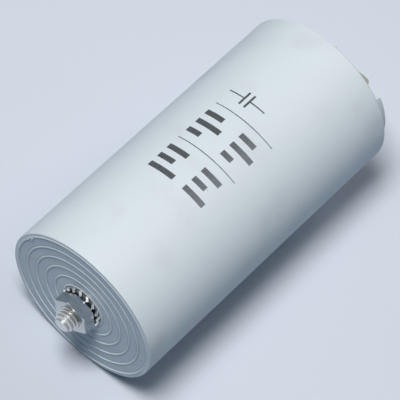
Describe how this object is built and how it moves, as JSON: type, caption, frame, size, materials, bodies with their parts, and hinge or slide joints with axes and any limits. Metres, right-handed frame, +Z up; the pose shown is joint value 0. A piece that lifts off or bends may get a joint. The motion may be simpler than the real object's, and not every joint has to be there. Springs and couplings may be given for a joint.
{
  "type": "motor run capacitor",
  "caption": "Round film capacitor for AC motors in a white moulded case, with a threaded mounting stud in its ringed base and shielded blade terminals in its lid.",
  "frame": {"origin": "centre of the base, in the plane of the crest of its outer ring, which meets the panel that the stud goes through", "axes": "+Y along the case from the base to the terminals, -Y the way the stud points, +Z up along the lid's partition, +X to the right"},
  "size_m": [0.06, 0.1404, 0.06],
  "materials": {
    "case_plastic": "satin moulded, white",
    "lid_plastic": "satin moulded, white",
    "stud_zinc": "zinc plated, bluish",
    "washer_zinc": "zinc plated, bluish",
    "nut_zinc": "zinc plated, bluish",
    "terminal_brass": "tinned, dull",
    "rivet_brass": "tinned, dull",
    "tag_brass": "plain",
    "film": "metallised film edge",
    "core_plastic": "moulded",
    "spray_zinc": "sprayed zinc, rough",
    "lead_sleeve": "insulated wire",
    "resin": "cast potting resin"
  },
  "bodies": {
    "root": {"case": "case_plastic", "terminal_lid": "lid_plastic", "mounting_stud": "stud_zinc", "lock_washer": "washer_zinc", "hex_nut": "nut_zinc", "terminal_left": "terminal_brass", "terminal_right": "terminal_brass", "rivet_left": "rivet_brass", "rivet_right": "rivet_brass", "solder_tag_left": "tag_brass", "solder_tag_right": "tag_brass", "film_winding": "film", "winding_core": "core_plastic", "end_spray_base": "spray_zinc", "end_spray_top": "spray_zinc", "lead_base": "lead_sleeve", "lead_top": "lead_sleeve", "resin_fill": "resin"}
  },
  "joints": []
}
